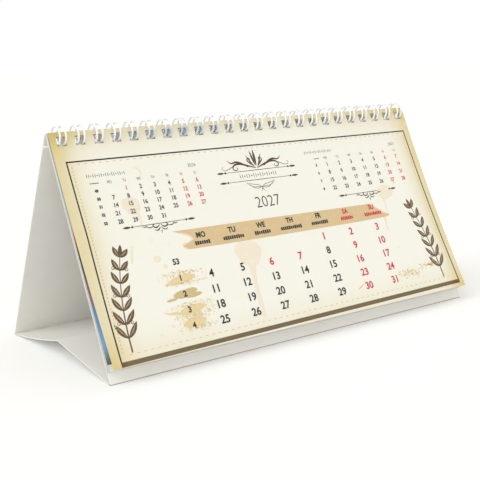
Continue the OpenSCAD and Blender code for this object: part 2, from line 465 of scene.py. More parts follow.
def wire_material(wire):
    """Glossy white coating, with a painted cool sheen, blue put into its colour on the front of some loops
    left of the middle.
    """
    shader = Shader("White coating", wire.colour, 0.25)
    shader.set("Coat Weight", 0.6)
    shader.set("Coat Roughness", 0.1)
    place = shader.object_place()
    x, y, z = shader.split(place)
    middle, reach, front, top, weight = -40 * MM, 24 * MM, 40.1 * MM, 96.2 * MM, 0.75
    # Painted sheen: blue mixed into the base colour around a place left of the middle, on the front and
    # lower part of each loop.
    sheen = shader.fade(shader.math("SUBTRACT", x, middle), reach, weight)
    behind = shader.ramp(y, front - 0.5 * MM, front)
    above = shader.ramp(z, top - 2 * MM, top)
    shown = shader.math("SUBTRACT", 1.0, shader.math("MAXIMUM", behind, above))
    painted_sheen_mask = shader.math("MULTIPLY", sheen, shown)
    shader.set("Base Color", shader.mix(painted_sheen_mask, wire.colour, wire.cool))
    shader.tooth(place, 5.0, 0.05, 0.04, 1500.0, 2.0, 0.5)
    return shader.material


def ink_material(name, colour, wear=0.06, grain=1100.0):
    """Printed ink, a little uneven where the paper's grain shows through."""
    shader = Shader(name, colour, 0.5)
    place = shader.object_place()
    worn = tuple(channel + (1.0 - channel) * wear for channel in colour)
    spots = shader.ramp(shader.noise(place, grain, seed=6.0), 0.5, 0.75)
    shader.set("Base Color", shader.mix(spots, colour, worn))
    shader.tooth(place, 7.0)
    return shader.material


def bar_material(inks, half_width):
    """The bar's brown, redder and darker at both ends."""
    shader = Shader("Bar ink", inks.bar, 0.5)
    place = shader.sheet_place()
    across = shader.split(place)[0]
    end = shader.math("SUBTRACT", half_width, shader.math("ABSOLUTE", across))
    grain = shader.ramp(shader.noise(place, 900.0, seed=4.0), 0.4, 0.8)
    brown = shader.mix(grain, inks.bar, shade(inks.bar, 1.18))
    shader.set("Base Color", shader.mix(shader.fade(end, 3 * MM, 1.0), brown, inks.bar_end))
    shader.tooth(place, 5.0)
    return shader.material


def parchment_material(sheets):
    """Cream in the middle, tan towards the edges and deeper in the corners, faintly clouded."""
    shader = Shader("Parchment print", sheets.cream, 0.5)
    place = shader.sheet_place()
    across, down, _ = shader.split(place)
    aside = shader.math("ABSOLUTE", across)
    side = shader.math("SUBTRACT", sheets.width / 2, aside)
    foot = shader.math("SUBTRACT", sheets.height, down)
    outward = shader.math("DIVIDE", aside, sheets.width / 2)
    near = shader.total(
        shader.fade(side, 9.5 * MM, 0.72),
        shader.fade(down, 5 * MM, 0.4),
        shader.fade(foot, 9 * MM, 0.26),
        shader.math("MULTIPLY", shader.fade(down, 13 * MM, 0.3), outward),
    )
    cloud = shader.noise(place, 34.0, 4.0, seed=8.0)
    faint = shader.math("MULTIPLY", shader.ramp(cloud, 0.42, 0.8), 0.06)
    near = shader.total(shader.math("MULTIPLY", near, shader.total(cloud, 0.5)), faint)
    faded = shader.mix(shader.math("MINIMUM", near, 1.0), sheets.cream, sheets.tan)
    deep = shader.math("SUBTRACT", near, 1.0, clamp=True)
    shader.set("Base Color", shader.mix(deep, faded, shade(sheets.tan, 0.66)))
    shader.tooth(place, 10.0, 0.1, scale=2400.0)
    return shader.material


def landscape_material():
    """Bands of colour down the second sheet, with wavy limits."""
    shader = Shader("Second sheet print", (0.4, 0.5, 0.6), 0.4)
    place = shader.sheet_place()
    swing, height = 12 * MM, 100 * MM
    waves = shader.math("SUBTRACT", shader.noise(place, 60.0, 5.0, 0.65, 12.0), 0.5)
    down = shader.total(shader.split(place)[1], shader.math("MULTIPLY", waves, swing))
    ramp = shader.node("ValToRGB", {0: shader.math("MULTIPLY", down, 1 / height)})
    # Shares of the height, from the top
    bands = [
        (0.00, (0.01, 0.30, 0.42)),
        (0.20, (0.02, 0.42, 0.60)),
        (0.33, (0.25, 0.52, 0.78)),
        (0.41, (0.55, 0.50, 0.50)),
        (0.46, (0.48, 0.14, 0.10)),
        (0.52, (0.08, 0.07, 0.07)),
        (0.62, (0.20, 0.19, 0.18)),
        (0.69, (0.42, 0.25, 0.32)),
        (0.75, (0.20, 0.38, 0.72)),
        (0.89, (0.30, 0.55, 0.88)),
        (0.95, (0.17, 0.19, 0.11)),
        (1.00, (0.22, 0.14, 0.09)),
    ]
    stops = ramp.color_ramp.elements
    while len(stops) < len(bands):
        stops.new(0.5)
    for stop, (at, colour) in zip(stops, bands):
        stop.position = at
        stop.color = (*colour, 1)
    shader.set("Base Color", ramp.outputs["Color"])
    shader.tooth(place, 13.0, scale=2400.0)
    return shader.material


# Paper


def punched_sheet(rows=()):
    """A flat sheet with its row of square holes, across X and down -Y."""
    sheets = bpy.context.scene.calendar_sheets
    bm = bmesh.new()
    bmesh.ops.create_grid(bm, x_segments=1, y_segments=1, size=0.5)
    bmesh.ops.scale(bm, vec=(sheets.width, sheets.height, 1), verts=bm.verts)
    bmesh.ops.translate(bm, vec=(0, -sheets.height / 2, 0), verts=bm.verts)
    half = sheets.hole / 2
    middles = [(i - (sheets.holes - 1) / 2) * sheets.pitch for i in range(sheets.holes)]
    cut_lines(bm, 0, [x + side * half for x in middles for side in (-1, 1)])
    top, bottom = sheets.hole_drop, sheets.hole_drop + sheets.hole
    cut_lines(bm, 1, [-place for place in (top, bottom, *rows)])

    def in_hole(centre):
        return top < -centre.y < bottom and any(abs(centre.x - x) < half for x in middles)

    drop_faces(bm, in_hole)
    return bm


def mark_sides(bm, top, bottom, cut):
    """Gives the upper face, the lower face and the cut edges their material slots."""
    bmesh.ops.recalc_face_normals(bm, faces=bm.faces)
    for face in bm.faces:
        if abs(face.normal.z) < 0.5:
            face.material_index = cut
        else:
            face.material_index = top if face.normal.z > 0 else bottom


def build_month_sheet():
    sheets = bpy.context.scene.calendar_sheets
    panel = FrontPanel()
    bm = punched_sheet(curl_rows())
    thicken(bm, sheets.paper)
    map_sheet(bm)
    mark_sides(bm, 0, 1, 0)
    lay(bm, panel.page)
    printed = parchment_material(sheets)
    plain = paper_material("Sheet back", sheets.back, 60.0, 0.96)
    add_piece(bm, "month_page", "page", printed, plain, replaces=("month_sheet",), slot="sheet")


def leaf_rows():
    """Distances below the punched edge at which the sheets behind bend."""
    height, count = bpy.context.scene.calendar_sheets.height, 12
    return [height * i / count for i in range(1, count)]


def fan_out(bm, lift):
    """Bends a flat sheet outwards, more and more towards its lower edge."""
    height = bpy.context.scene.calendar_sheets.height
    for vert in bm.verts:
        vert.co.z += lift * (vert.co.y / height) ** 2


def build_pad():
    """The sheets behind, each a little out of line with the next and the last ones fanned out."""
    sheets = bpy.context.scene.calendar_sheets
    panel = FrontPanel()
    spacing = sheets.pad / sheets.leaves
    thickness = spacing * 0.84
    dark_edges, fall = 2, 0.4
    stray = random.Random(3)
    bm = bmesh.new()
    for index in range(sheets.leaves):
        leaf = punched_sheet(leaf_rows())
        thicken(leaf, thickness)
        map_sheet(leaf)
        from_top = sheets.leaves - 1 - index
        mark_sides(leaf, 0, 0, 1 if from_top < dark_edges else 0)
        aside = stray.uniform(-1.0, 0.4) * sheets.jog if from_top else 0.0
        fan_out(leaf, sheets.fan * fall**from_top)
        rise = spacing * (index + 1) - thickness
        bmesh.ops.translate(leaf, vec=(aside, 0, rise), verts=leaf.verts)
        merge(bm, to_mesh(leaf, "leaf"))
    lay(bm, panel.pad)
    plain = paper_material("Sheets", sheets.back, 60.0, 0.96)
    cut = paper_material("Cut edges", sheets.cut, 700.0, 1.5)
    add_piece(bm, "remaining_sheets", "easel", plain, cut, replaces=("page_block",), slot="pad")


def build_second_print():
    """The print on the second sheet, which shows at its edges."""
    sheets = bpy.context.scene.calendar_sheets
    panel = FrontPanel()
    top, foot = 1.6 * MM, sheets.height - 3 * MM
    below_holes = sheets.hole_drop + sheets.hole + 0.4 * MM
    last_hole = ((sheets.holes - 1) * sheets.pitch + sheets.hole) / 2
    bm = punched_sheet(leaf_rows())
    cut_lines(bm, 1, [-top, -foot, -below_holes])

    def is_bare(centre):
        beside_holes = -centre.y < below_holes and abs(centre.x) < last_hole
        return beside_holes or not top < -centre.y < foot

    drop_faces(bm, is_bare)
    thicken(bm, 2 * LAYER)
    map_sheet(bm)
    fan_out(bm, sheets.fan)
    lay(bm, lambda across, down, out: panel.pad(across, down, sheets.pad + out))
    printed = landscape_material()
    replaced = ("second_sheet_print",)
    add_piece(bm, "second_sheet_bands", "easel", printed, replaces=replaced, slot="ink_second")


# Drawing on the sheet


class Ink:
    """Flat shapes in one ink, drawn in millimetres across and down the sheet."""

    def __init__(self, name, material):
        self.name = name
        self.material = material
        self.bm = bmesh.new()
        self.texts = []
        self.pen = tube_curve(name, 1.0, 0)
        self.pen.resolution_u = 4

    def polygon(self, points, layer=1):
        """A filled outline."""
        height = layer * LAYER
        corners = [self.bm.verts.new((x * MM, -down * MM, height)) for x, down in points]
        self.bm.faces.new(corners)

    def patch(self, left, top, right, bottom, layer=1):
        """An upright rectangle."""
        self.polygon([(left, bottom), (right, bottom), (right, top), (left, top)], layer)

    def spot(self, across, down, wide, high, layer=1, turn=0.0, count=24, ragged=0.0, seed=0):
        """A round or oval spot, with a ragged outline if asked."""
        place = Matrix.Translation((across * MM, -down * MM, layer * LAYER))
        place = place @ Matrix.Rotation(-turn, 4, "Z") @ Matrix.Diagonal((wide * MM, high * MM, 1, 1))
        made = bmesh.ops.create_circle(self.bm, cap_ends=True, segments=count, radius=1)
        chance = random.Random(seed)
        waves = []
        for lobes in (3, 5, 7, 11):
            waves.append((lobes, chance.uniform(0, 6.3), chance.uniform(0.4, 1.0) / lobes**0.6))
        for vert in made["verts"]:
            around = math.atan2(vert.co.y, vert.co.x)
            wobble = sum(size * math.sin(lobes * around + phase) for lobes, phase, size in waves)
            vert.co = place @ (vert.co * (1 + ragged * wobble))

    def speckle(self, across, down, wide, high, count, seed, size=0.26, layer=1):
        """Small flecks strewn thinner and thinner around a place."""
        chance = random.Random(seed)
        for _ in range(count):
            x = across + max(-1.0, min(1.0, chance.gauss(0, 0.5))) * wide
            y = down + max(-1.0, min(1.0, chance.gauss(0, 0.45))) * high
            fleck = chance.uniform(0.35, 1.0) * size
            self.spot(x, y, fleck * 1.5, fleck * 0.7, layer, chance.uniform(-0.4, 0.2), 6)

    def stroke(self, points, layer=1, closed=False):
        """A pen stroke through (across, down, half width) points."""
        spline = self.pen.splines.new("BEZIER")
        spline.bezier_points.add(len(points) - 1)
        spline.use_cyclic_u = closed
        for point, (across, down, half) in zip(spline.bezier_points, points):
            point.co = (across * MM, -down * MM, layer * LAYER / FLATNESS)
            point.radius = half * MM
            point.handle_left_type = "AUTO"
            point.handle_right_type = "AUTO"

    def both_ways(self, middle, top, lines, layer, step):
        """Strokes and their mirror images, drawn from a middle, each line a step above the last."""
        for index, points in enumerate(lines):
            for way in (1, -1):
                moved = [(middle + way * across, top + down, half) for across, down, half in points]
                self.stroke(moved, layer + step * index)

    def blade(self, base, tip, width, bow=0.0, layer=1, steps=5):
        """A pointed leaf or petal from base to tip, bowed to one side."""
        run, fall = tip[0] - base[0], tip[1] - base[1]
        size = math.hypot(run, fall)
        points = []
        for i in range(steps + 1):
            share = i / steps
            lean = bow * 4 * share * (1 - share) / size
            half = max(0.03, width / 2 * math.sin(math.pi * share) ** 0.85)
            across = base[0] + run * share - fall * lean
            points.append((across, base[1] + fall * share + run * lean, half))
        self.stroke(points, layer)

    def text(self, body, across, down, height, stretch=1.0, weight=0.0, layer=1):
        """Numerals or initials, centred on a place."""
        cap_share = 0.73
        data = bpy.data.curves.new("text", "FONT")
        data.body = body
        data.size = height * MM / cap_share
        data.align_x = "CENTER"
        data.align_y = "CENTER"
        data.offset = weight * MM
        data.resolution_u = 3
        shape = in_scene("text", data)
        shape.scale = (stretch, 1, 1)
        shape.location = (across * MM, -down * MM, layer * LAYER)
        self.texts.append(shape)

    def add_shapes(self, shapes, flatten=1.0):
        """Adds texts or pen strokes to the shapes."""
        for mesh in baked(shapes):
            mesh.transform(Matrix.Diagonal((1, 1, flatten, 1)))
            merge(self.bm, mesh)

    def lay_on_sheet(self, replaces=(), slot=None):
        """Gives the shapes their thickness, cuts them at the sheet's bends and lays them on it."""
        scene = bpy.context.scene
        sheets, inks = scene.calendar_sheets, scene.calendar_print
        panel = FrontPanel()
        bm = self.bm
        self.add_shapes(self.texts)
        if bm.faces:
            bmesh.ops.triangulate(bm, faces=[face for face in bm.faces if len(face.verts) > 4])
            thicken(bm, LAYER)
        self.add_shapes([in_scene("pen", self.pen)], FLATNESS)
        downs = [-vert.co.y for vert in bm.verts]
        cut_lines(bm, 1, [-row for row in curl_rows() if min(downs) < row < max(downs)])
        map_sheet(bm)

        def place(across, down, out):
            rise = inks.tilt * across * down / sheets.height
            aside = inks.drift * (down - sheets.height / 2)
            aside -= inks.lean * max(0.0, down - inks.lean_from)
            return panel.page(across + aside, down - rise, sheets.paper + out)

        lay(bm, place)
        add_piece(bm, self.name, "page", self.material, replaces=replaces, slot=slot)


# Print


def build_border():
    inks = bpy.context.scene.calendar_print
    left, right, top, foot, line, bar = -97.5, 99.0, 12.85, 98.95, 0.62, 1.95
    knee = inks.lean_from / MM

    def right_at(down):
        """The right line stays upright where the rest of the print leans."""
        return right + inks.lean * max(0.0, down - knee)

    border = Ink("border_line", ink_material("Border ink", inks.line, 0.02))
    border.patch(left, top, right, top + line)
    border.patch(left, top + line, left + line, foot)
    for start, end in ((top + line, knee), (knee, foot)):
        inner = [(right_at(start) - line, start), (right_at(end) - line, end)]
        border.polygon([*inner, (right_at(end), end), (right_at(start), start)])
    border.lay_on_sheet(("print_border",), "ink_brown")
    strip = Ink("lower_bar", bar_material(inks, (right - left) / 2 * MM))
    strip.patch(left, foot - bar, right_at(foot), foot, 2)
    strip.lay_on_sheet((), "ink_brown")
    stitch = Ink("stitch_line", ink_material("Stitch ink", inks.stitch))
    inset, stitch_top, stitch_foot = 2.1, 14.3, 94.6
    # Half the length and width of the stitches that lie, and of those that stand
    lying, standing = (0.65, 0.14), (0.36, 0.22)
    count = 58
    for i in range(1, count):
        across = left + inset + (right - left - 2 * inset) * i / count
        for down in (stitch_top, stitch_foot):
            stitch.patch(across - lying[0], down - lying[1], across + lying[0], down + lying[1])
    count = 54
    for i in range(1, count):
        down = stitch_top + (stitch_foot - stitch_top) * i / count
        for x in (left + inset, right_at(down) - inset):
            stitch.patch(x - standing[1], down - standing[0], x + standing[1], down + standing[0])
    stitch.lay_on_sheet()


def build_ribbon():
    inks = bpy.context.scene.calendar_print
    ribbon = Ink("weekday_ribbon", ink_material("Ribbon ink", inks.ribbon, 0.12, 420.0))
    upper = [(-57.9, 48.2), (-29, 48.5), (0, 48.9), (29, 49.3), (57.8, 49.7)]
    right = [(59.6, 51.0), (62.6, 52.6), (64.3, 54.1), (66.4, 55.9), (69.4, 56.9), (66.2, 57.6)]
    lower = [(48, 57.8), (24, 57.7), (0, 57.6), (-26, 57.4), (-51.5, 57.0)]
    left = [(-53.2, 56.4), (-54.2, 55.1), (-51.4, 54.1), (-48.4, 52.7), (-49.6, 51.3), (-52.4, 49.9)]
    ribbon.polygon([*upper, *right, *lower, *left], 2)
    ribbon.lay_on_sheet(("print_ribbon",), "ink_ribbon")
    torn = Ink("ribbon_ends", ink_material("Torn ink", inks.torn, 0.1))
    notch_top = [(-56.0, 48.9, 0.08), (-52.6, 49.9, 0.3), (-50.2, 51.0, 0.42), (-48.3, 52.7, 0.3)]
    notch_foot = [(-48.5, 52.8, 0.2), (-51.4, 54.1, 0.25), (-54.3, 55.0, 0.3), (-52.6, 56.7, 0.35)]
    tip = [(59.6, 51.3, 0.1), (62.4, 52.9, 0.3), (64.6, 54.5, 0.5), (69.3, 56.8, 0.1)]
    drip = [(64.6, 54.9, 0.3), (65.2, 58.3, 0.45), (64.9, 62.3, 0.3), (65.2, 65.5, 0.12)]
    for line, layer in ((notch_top, 3.2), (notch_foot, 3.4), (tip, 3.2), (drip, 1)):
        torn.stroke(line, layer)
    torn.lay_on_sheet()


def build_stains():
    inks = bpy.context.scene.calendar_print
    pale = Ink("stains", ink_material("Pale stain", inks.stain, 0.25, 240.0))
    pale.spot(-22.2, 63.2, 7.0, 6.3, 0.3, 0.2, 64, 0.11, 2)
    pale.speckle(-22, 65, 11, 8, 70, 21, 0.24, 0.7)
    for across, down, wide, high, turn, count, ragged, seed in (
        (-68.6, 58.8, 1.9, 1.5, 0.0, 30, 0.08, 3),
        (-65.6, 62.4, 1.2, 0.9, 0.0, 20, 0.12, 4),
        (-76.3, 90.2, 0.8, 0.6, 0.0, 16, 0.10, 5),
        (-73.5, 34.5, 4.4, 4.0, 0.4, 48, 0.09, 6),
        (71.0, 44.8, 5.6, 3.8, -0.2, 48, 0.09, 7),
        (79.4, 40.6, 1.2, 1.0, 0.0, 18, 0.10, 8),
        (67.5, 74.2, 0.7, 0.6, 0.0, 14, 0.10, 9),
    ):
        pale.spot(across, down, wide, high, 0.3, turn, count, ragged, seed)
    run = [(-22.2, 67.3, 2.8), (-22.6, 70.8, 1.6), (-23.3, 76.5, 1.0), (-23.8, 84.0, 1.2)]
    run += [(-24.2, 92.6, 1.2)]
    arc = [(-68.2, 18.3, 0.1), (-65.8, 18.5, 0.45), (-64.6, 20.3, 0.6), (-65.2, 22.0, 0.2)]
    smear = [(-78.4, 51.4, 0.5), (-79.5, 54.6, 0.8), (-80.6, 58.8, 0.6)]
    left_drip = [(-71.5, 38, 0.9), (-71.2, 41.5, 0.6), (-71.8, 45, 0.3)]
    right_drip = [(69.2, 47, 1.1), (68.4, 52, 0.6), (68.8, 57, 0.3)]
    for line, layer in ((run, 1), (arc, 0.5), (smear, 0.3), (left_drip, 0.5), (right_drip, 0.5)):
        pale.stroke(line, layer)
    pale.lay_on_sheet()
    ochre = Ink("ochre_marks", ink_material("Ochre ink", inks.stitch, 0.15, 600.0))
    ochre.speckle(70, 88.4, 9, 3.2, 150, 31, 0.32, 0.5)
    ochre.speckle(84, 86.2, 6, 1.5, 90, 32, 0.36, 0.5)
    streaks = ((64, 88.9, 3.2), (67.5, 87.9, 4.4), (72, 89.6, 3.4), (81, 86.4, 4.2), (86, 85.7, 3.0))
    for across, down, reach in streaks:
        middle = (across + reach / 2, down - 0.3, 0.28)
        ochre.stroke([(across, down, 0.06), middle, (across + reach, down - 0.9, 0.08)], 0.7)
    ochre.stroke([(32.7, 90.6, 0.06), (35, 89.6, 0.3), (37.4, 88.3, 0.1)], 0.5)
    ochre.speckle(-66, 52, 5, 4, 16, 33, 0.16, 0.5)
    ochre.lay_on_sheet()


def build_blots():
    inks = bpy.context.scene.calendar_print
    tan = Ink("blots", ink_material("Blot ink", inks.blot, 0.12, 700.0))
    for line in (
        [(-68.7, 70.4, 0.1), (-65.2, 69.9, 1.1), (-60.7, 69.2, 1.8), (-56.2, 68.7, 1.6), (-52.8, 68.3, 0.5)],
        [(-66.2, 83.4, 0.3), (-62.9, 82.9, 1.5), (-59.2, 82.4, 1.9), (-55.4, 82.0, 1.6), (-52.0, 81.6, 0.4)],
        [(-72.6, 81.6, 0.1), (-69.4, 82.5, 0.5), (-65.9, 82.7, 0.7)],
        [(-65.2, 88.4, 0.4), (-62.2, 88.2, 1.9), (-59.2, 87.9, 2.3), (-56.2, 87.7, 1.9), (-53.4, 87.4, 0.4)],
    ):
        tan.stroke(line)
    for across, down, wide, high, seed in (
        (-59.0, 68.6, 10.0, 2.3, 11),
        (-58.0, 82.2, 10.5, 2.1, 12),
        (-59.4, 88.0, 9.0, 2.6, 13),
    ):
        tan.speckle(across, down - high, wide, 1.5, 110, seed, 0.34, 1.5)
        tan.speckle(across + 1.5, down + high * 0.9, wide, 1.5, 110, seed + 40, 0.32, 1.7)
        tan.speckle(across, down, wide * 1.2, high, 90, seed + 60, 0.3, 1.9)
    tan.lay_on_sheet(("print_blots",), "ink_blots")
    olive = Ink("olive_blot", ink_material("Olive ink", inks.olive, 0.1, 500.0))
    for across, down, wide, high, seed in (
        (-60.7, 75.4, 5.2, 1.75, 2),
        (-57.3, 74.6, 3.6, 1.3, 3),
        (-56.1, 76.5, 4.2, 1.0, 4),
        (-67.1, 77.0, 2.6, 0.6, 5),
    ):
        olive.spot(across, down, wide, high, 1 + 0.1 * seed, -0.06, 48, 0.03, seed)
    olive.lay_on_sheet()


class Month:
    """A month's weekday of the first, its length, and where its numerals stand."""

    def __init__(self, first, last, columns, rows, holidays, week_column, weeks):
        self.first = first
        self.last = last
        self.columns = columns
        self.rows = rows
        self.holidays = holidays
        self.week_column = week_column
        self.weeks = weeks

    def days(self):
        """Each day with its place, and whether it is a day off."""
        for day in range(1, self.last + 1):
            cell = self.first + day - 1
            off = cell % 7 >= 5 or day in self.holidays
            yield day, self.columns[cell % 7], self.rows[cell // 7], off


THIS_MONTH = Month(
    first=4,
    last=31,
    columns=(-44.4, -27.7, -11.4, 5.5, 23.0, 40.5, 58.1),
    rows=(61.9, 69.0, 76.0, 82.9, 89.7),
    holidays=(1, 6, 7),
    week_column=-60.1,
    weeks=(53, 1, 2, 3, 4),
)
MONTH_BEFORE = Month(
    first=1,
    last=31,
    columns=(-80.5, -73.4, -66.4, -59.4, -52.1, -44.9, -37.6),
    rows=(26.6, 30.1, 33.5, 37.0, 40.7),
    holidays=(1,),
    week_column=-87.4,
    weeks=(49, 50, 51, 52, 53),
)
MONTH_AFTER = Month(
    first=0,
    last=28,
    columns=(39.5, 47.4, 55.4, 63.3, 71.3, 79.2, 87.2),
    rows=(26.6, 30.7, 34.8, 38.9),
    holidays=(),
    week_column=32.5,
    weeks=(5, 6, 7, 8),
)
WEEKDAYS = ("MO", "TU", "WE", "TH", "FR", "SA", "SU")


def bead_row(ink, across, down, width, height, layer=1):
    """A row of narrow reels and round beads."""
    count = round(width / (height * 0.62))
    for i in range(count):
        x = across + width * ((i + 0.5) / count - 0.5)
        if i % 3 == 2:
            ink.spot(x, down, height * 0.17, height * 0.17, layer, 0, 10)
        else:
            ink.stroke([(x, down - height / 2, 0.09), (x, down, 0.16), (x, down + height / 2, 0.09)], layer)


def block_row(ink, across, down, count, seed, layer):
    """A row of small blocks of uneven height."""
    chance = random.Random(seed)
    width = 1.15
    for cell in range(count):
        left = across + (cell - count / 2) * width
        high = chance.uniform(0.72, 1.05)
        ink.patch(left + 0.12, down - high, left + width - 0.12, down + high * 0.8, layer)


def build_numerals():
    inks = bpy.context.scene.calendar_print
    black = Ink("numerals_black", ink_material("Black ink", inks.black, 0.02))
    red = Ink("numerals_red", ink_material("Red ink", inks.red, 0.05))
    grey = Ink("headings_grey", ink_material("Grey ink", inks.grey, 0.1))
    # Height, stretch, weight and layer of each kind of text
    large_day, large_week, weekday = (3.6, 0.98, 0.12, 4), (2.6, 0.95, 0.12, 5), (2.5, 0.9, 0.13, 5)
    small_day, small_week, heading = (2.0, 0.9, 0.06, 4), (1.25, 0.95, 0.09, 5), (1.35, 0.72, -0.01, 4)
    small_year, large_year = (1.6, 1.0, -0.02, 3), (5.6, 0.94, -0.1, 4)
    weekday_down, blocks_down, heading_down, small_year_down = 51.5, 55.0, 23.2, 19.7
    for day, across, down, off in THIS_MONTH.days():
        (red if off else black).text(str(day), across, down, *large_day)
    for number, down in zip(THIS_MONTH.weeks, THIS_MONTH.rows):
        black.text(str(number), THIS_MONTH.week_column, down - 0.5, *large_week)
    for index, name in enumerate(WEEKDAYS):
        ink = red if index >= 5 else black
        across = THIS_MONTH.columns[index] + 0.1
        ink.text(name, across, weekday_down, *weekday)
        block_row(ink, across, blocks_down, 7 + index * 3 % 5, index, 5)
    for month in (MONTH_BEFORE, MONTH_AFTER):
        for day, across, down, off in month.days():
            (red if off else black).text(str(day), across, down, *small_day)
        for number, down in zip(month.weeks, month.rows):
            black.text(str(number), month.week_column, down, *small_week)
        for index, name in enumerate(WEEKDAYS):
            ink = red if index >= 5 else grey
            ink.text(name, month.columns[index], heading_down, *heading)
    for left, right in ((-89.6, -85.4), (32.0, 35.4)):
        grey.patch(left, heading_down - 0.2, right, heading_down + 0.15)
    for year, across in (("2026", -38.2), ("2027", 86.6)):
        grey.text(year, across, small_year_down, *small_year)
    bead_row(grey, -81.2, 19.9, 18.6, 1.6)
    bead_row(grey, 36.0, 19.7, 18.0, 1.6)
    bead_row(black, -3.7, 27.7, 22.0, 2.1)
    black.text("2027", -3.1, 41.0, *large_year)
    for ink in (black, red, grey):
        ink.lay_on_sheet()


def draw_rule(ink, start, end, down, layer=1):
    """A thin rule with a dart and a bead at either end."""
    ink.stroke([(start, down, 0.1), ((start + end) / 2, down, 0.16), (end, down, 0.1)], layer)
    for tip, way in ((start, 1), (end, -1)):
        ink.blade((tip, down), (tip + way * 4.0, down), 1.05, 0.0, layer + 0.4)
        ink.spot(tip + way * 4.6, down, 0.5, 0.5, layer + 0.4, 0, 14)


def draw_crest(ink, middle):
    """A palmette between scrolls."""
    ink.blade((middle + 0.2, 23.5), (middle + 0.5, 15.1), 1.3, 0.0, 2)
    ink.blade((middle - 0.3, 23.5), (middle - 1.6, 15.4), 1.0, 0.0, 2.1)
    flame = [(1.2, 23.0, 0.12), (2.6, 21.2, 0.4), (3.4, 19.4, 0.3), (4.4, 17.7, 0.06)]
    curl = [(1.0, 23.5, 0.15), (3.2, 21.6, 0.3), (4.2, 20.3, 0.3), (3.4, 19.3, 0.2)]
    curl += [(2.5, 19.9, 0.15), (2.9, 20.6, 0.1)]
    scroll = [(0.3, 24.3, 0.15), (5.5, 22.6, 0.45), (9.5, 21.6, 0.5), (12.5, 22.3, 0.35), (13.2, 23.8, 0.25)]
    scroll += [(11.6, 24.5, 0.2), (10.6, 23.7, 0.15), (11.3, 23.1, 0.1)]
    wave = [(4.5, 23.6, 0.15), (8.0, 21.4, 0.4), (11.0, 20.6, 0.42), (13.5, 21.0, 0.3), (15.6, 19.6, 0.08)]
    tail = [(10.5, 21.8, 0.12), (14.0, 22.9, 0.15), (17.0, 24.0, 0.12), (18.6, 23.9, 0.1)]
    tail += [(19.3, 22.9, 0.1), (18.6, 22.3, 0.1)]
    ink.both_ways(middle, 0.0, (flame, curl, scroll, wave, tail), 2.2, 0.3)


def draw_flourish(ink, middle):
    """Thin pen lines that meet in the middle."""
    outer = [(8.1, 31.0, 0.07), (4.6, 32.0, 0.12), (1.6, 32.6, 0.12), (0.2, 33.6, 0.1), (-1.2, 36.0, 0.07)]
    inner = [(8.1, 31.2, 0.07), (5.0, 33.2, 0.12), (1.8, 33.4, 0.12), (0.0, 33.9, 0.1), (-0.3, 35.2, 0.07)]
    lower = [(6.8, 31.9, 0.07), (4.0, 33.9, 0.12), (1.6, 34.0, 0.12), (0.4, 33.4, 0.08)]
    ink.both_ways(middle, 0.0, (outer, inner, lower), 1.2, 0.4)


def draw_hanging_scroll(ink, start, end, down):
    """A rule with scrolls that hang below its middle."""
    draw_rule(ink, start, end, down)
    middle = (start + end) / 2
    scroll = [(0.3, 0.4, 0.12), (1.6, 1.5, 0.3), (3.2, 1.3, 0.32), (3.6, 0.5, 0.2), (2.8, 0.2, 0.12)]
    lobe = [(0.2, 1.6, 0.12), (1.2, 2.6, 0.28), (2.4, 2.9, 0.2), (3.2, 2.3, 0.12)]
    wave = [(3.4, 0.9, 0.12), (5.2, 1.4, 0.22), (6.6, 0.9, 0.15), (7.4, 0.3, 0.08)]
    tail = [(6.2, 0.4, 0.1), (7.6, 0.9, 0.2), (8.6, 0.5, 0.12)]
    ink.both_ways(middle, down, (scroll, lobe, wave, tail), 2.0, 0.3)
    for drop, size in ((3.4, 0.35), (4.1, 0.2)):
        ink.spot(middle, down + drop, size, size, 3, 0, 12)


def build_ornaments():
    ink = Ink("ornaments", ink_material("Sepia ink", bpy.context.scene.calendar_print.sepia, 0.03))
    draw_rule(ink, -26.3, 19.5, 25.3)
    draw_rule(ink, -26.2, 19.4, 30.0)
    draw_crest(ink, -3.4)
    draw_flourish(ink, -3.5)
    draw_hanging_scroll(ink, -80.6, -44.6, 43.7)
    draw_hanging_scroll(ink, 40.2, 79.3, 43.5)
    ink.lay_on_sheet()


